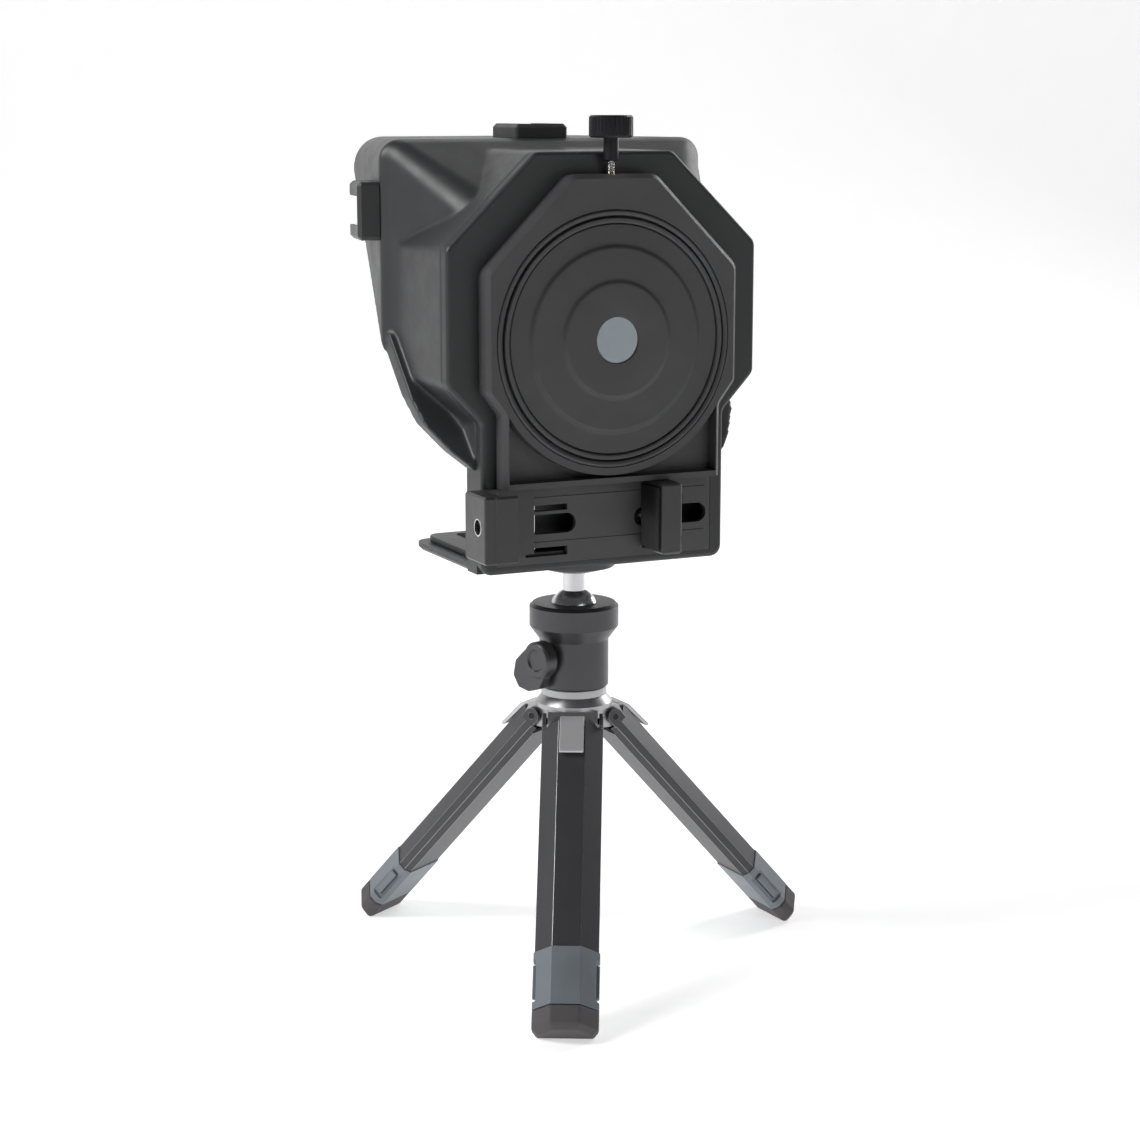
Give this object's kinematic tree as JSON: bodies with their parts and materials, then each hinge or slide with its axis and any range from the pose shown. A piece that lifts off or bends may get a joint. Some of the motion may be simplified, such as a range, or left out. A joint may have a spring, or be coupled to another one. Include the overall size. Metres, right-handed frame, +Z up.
{
  "type": "phone teleprompter",
  "caption": "Hooded phone teleprompter with a slanted beam splitter, rear phone clamp, lens board and phone tray on a ball head and folding table tripod.",
  "frame": {"origin": "point on the table under the tripod's axis, level with the soles of the feet", "axes": "+Z up, +Y from the recording camera to the speaker, +X to the right seen from behind"},
  "size_m": [0.2025, 0.2108, 0.3748],
  "materials": {
    "hood_plastic": "fine matte grain",
    "frame_plastic": "fine matte grain",
    "board_plastic": "fine matte grain",
    "jaw_plastic": "fine matte grain",
    "shield_rubber": "soft matte rubber",
    "grip_rubber": "matte rubber",
    "knob_black": "satin black, knurled",
    "black_screw": "black oxide",
    "bright_steel": "turned bright steel",
    "insert_brass": "machined brass",
    "splitter_glass": "coated beam splitter, split ratio not known",
    "housing_metal": "satin anodised",
    "silver_metal": "satin silver anodised",
    "tube_metal": "bead-blasted dark anodised",
    "sleeve_plastic": "satin grey-blue",
    "foot_rubber": "moulded rubber"
  },
  "bodies": {
    "tripod": {"crown": "silver_metal", "crown_plug": "black_screw", "leg_pins": "black_screw"},
    "ball_base": {"pan_ring": "silver_metal", "ball_housing": "housing_metal", "pressure_cup": "insert_brass"},
    "lock_lever": {"lock_lever": "housing_metal"},
    "head": {"ball_stem": "bright_steel", "head_platform": "housing_metal", "platform_pad": "grip_rubber", "mount_screw": "bright_steel", "main_frame": "frame_plastic", "neck_cover": "frame_plastic", "hood_shell": "hood_plastic", "glass_frame": "hood_plastic", "beam_splitter_glass": "splitter_glass", "top_shoe": "hood_plastic", "side_shoe": "hood_plastic", "shoe_screws": "black_screw", "lens_board": "board_plastic", "lens_ring": "board_plastic", "lens_shield": "shield_rubber", "thread_insert": "insert_brass", "board_screws": "black_screw", "hood_screws": "black_screw", "clamp_plate": "board_plastic", "base_insert": "insert_brass"},
    "screw_pin": {"thumbscrew_pin": "bright_steel"},
    "screw_knob": {"thumbscrew_knob": "knob_black"},
    "left_jaw": {"left_jaw": "jaw_plastic", "jaw_insert": "bright_steel", "left_jaw_pad": "grip_rubber", "left_jaw_slider": "bright_steel"},
    "right_jaw": {"right_jaw": "jaw_plastic", "right_jaw_pad": "grip_rubber", "right_jaw_slider": "bright_steel"},
    "phone_tray": {"phone_tray": "frame_plastic", "tray_pads": "grip_rubber"},
    "leg_1": {"leg_tube_1": "tube_metal", "leg_sleeve_1": "sleeve_plastic"},
    "inner_leg_1": {"inner_leg_1": "silver_metal", "rubber_foot_1": "foot_rubber"},
    "latch_tab_1": {"latch_tab_1": "silver_metal"},
    "left_leg_button_1": {"left_leg_button_1": "sleeve_plastic"},
    "right_leg_button_1": {"right_leg_button_1": "sleeve_plastic"},
    "leg_2": {"leg_tube_2": "tube_metal", "leg_sleeve_2": "sleeve_plastic"},
    "inner_leg_2": {"inner_leg_2": "silver_metal", "rubber_foot_2": "foot_rubber"},
    "latch_tab_2": {"latch_tab_2": "silver_metal"},
    "left_leg_button_2": {"left_leg_button_2": "sleeve_plastic"},
    "right_leg_button_2": {"right_leg_button_2": "sleeve_plastic"},
    "leg_3": {"leg_tube_3": "tube_metal", "leg_sleeve_3": "sleeve_plastic"},
    "inner_leg_3": {"inner_leg_3": "silver_metal", "rubber_foot_3": "foot_rubber"},
    "latch_tab_3": {"latch_tab_3": "silver_metal"},
    "left_leg_button_3": {"left_leg_button_3": "sleeve_plastic"},
    "right_leg_button_3": {"right_leg_button_3": "sleeve_plastic"}
  },
  "joints": [
    {"name": "pan", "type": "hinge", "parent": "tripod", "child": "ball_base", "pos_m": [0, 0, 0.121], "axis": [0, 0, 1], "continuous": true},
    {"name": "ball_tilt", "type": "hinge", "parent": "ball_base", "child": "head", "pos_m": [0, 0, 0.158], "axis": [1, 0, 0], "range_deg": [-30, 30]},
    {"name": "ball_lock", "type": "hinge", "parent": "ball_base", "child": "lock_lever", "pos_m": [0, 0, 0.139], "axis": [-0.9511, -0.309, 0], "range_deg": [-40, 40]},
    {"name": "screw_feed", "type": "slide", "parent": "head", "child": "screw_pin", "axis": [0, 0, 1], "range_m": [0, 0.0031]},
    {"name": "screw_turn", "type": "hinge", "parent": "screw_pin", "child": "screw_knob", "pos_m": [0, -0.0355, 0.37], "axis": [0, 0, 1], "range_deg": [0, 1440]},
    {"name": "left_jaw_slide", "type": "slide", "parent": "head", "child": "left_jaw", "axis": [1, 0, 0], "range_m": [-0.0045, 0.021]},
    {"name": "right_jaw_slide", "type": "slide", "parent": "head", "child": "right_jaw", "axis": [1, 0, 0], "range_m": [-0.0045, 0.0215]},
    {"name": "tray_slide", "type": "slide", "parent": "head", "child": "phone_tray", "axis": [0, 1, 0], "range_m": [0, 0.03]},
    {"name": "leg_1_fold", "type": "hinge", "parent": "tripod", "child": "leg_1", "pos_m": [-0.00646, -0.01242, 0.111], "axis": [0.887, -0.4617, 0], "range_deg": [0, 41.5]},
    {"name": "leg_1_extend", "type": "slide", "parent": "leg_1", "child": "inner_leg_1", "axis": [-0.309, -0.5935, -0.7431], "range_m": [0, 0.06]},
    {"name": "latch_1_press", "type": "hinge", "parent": "leg_1", "child": "latch_tab_1", "pos_m": [-0.0097, -0.01863, 0.11488], "axis": [0.887, -0.4617, 0], "range_deg": [0, 3], "stiffness_Nm_per_rad": 0.1},
    {"name": "left_button_1_press", "type": "slide", "parent": "leg_1", "child": "left_leg_button_1", "axis": [0.887, -0.4617, 0], "range_m": [0, 0.0008], "stiffness_N_per_m": 300},
    {"name": "right_button_1_press", "type": "slide", "parent": "leg_1", "child": "right_leg_button_1", "axis": [-0.887, 0.4617, 0], "range_m": [0, 0.0008], "stiffness_N_per_m": 300},
    {"name": "leg_2_fold", "type": "hinge", "parent": "tripod", "child": "leg_2", "pos_m": [0.01399, 0.00061, 0.111], "axis": [-0.0436, 0.999, 0], "range_deg": [0, 41.5]},
    {"name": "leg_2_extend", "type": "slide", "parent": "leg_2", "child": "inner_leg_2", "axis": [0.6685, 0.0292, -0.7431], "range_m": [0, 0.06]},
    {"name": "latch_2_press", "type": "hinge", "parent": "leg_2", "child": "latch_tab_2", "pos_m": [0.02098, 0.00092, 0.11488], "axis": [-0.0436, 0.999, 0], "range_deg": [0, 3], "stiffness_Nm_per_rad": 0.1},
    {"name": "left_button_2_press", "type": "slide", "parent": "leg_2", "child": "left_leg_button_2", "axis": [-0.0436, 0.999, 0], "range_m": [0, 0.0008], "stiffness_N_per_m": 300},
    {"name": "right_button_2_press", "type": "slide", "parent": "leg_2", "child": "right_leg_button_2", "axis": [0.0436, -0.999, 0], "range_m": [0, 0.0008], "stiffness_N_per_m": 300},
    {"name": "leg_3_fold", "type": "hinge", "parent": "tripod", "child": "leg_3", "pos_m": [-0.00752, 0.01181, 0.111], "axis": [-0.8434, -0.5373, 0], "range_deg": [0, 41.5]},
    {"name": "leg_3_extend", "type": "slide", "parent": "leg_3", "child": "inner_leg_3", "axis": [-0.3595, 0.5643, -0.7431], "range_m": [0, 0.06]},
    {"name": "latch_3_press", "type": "hinge", "parent": "leg_3", "child": "latch_tab_3", "pos_m": [-0.01128, 0.01771, 0.11488], "axis": [-0.8434, -0.5373, 0], "range_deg": [0, 3], "stiffness_Nm_per_rad": 0.1},
    {"name": "left_button_3_press", "type": "slide", "parent": "leg_3", "child": "left_leg_button_3", "axis": [-0.8434, -0.5373, 0], "range_m": [0, 0.0008], "stiffness_N_per_m": 300},
    {"name": "right_button_3_press", "type": "slide", "parent": "leg_3", "child": "right_leg_button_3", "axis": [0.8434, 0.5373, 0], "range_m": [0, 0.0008], "stiffness_N_per_m": 300}
  ],
  "couplings": [
    {"joint": "screw_feed", "follows": "screw_turn", "m_per_rad": 0.00011141}
  ]
}
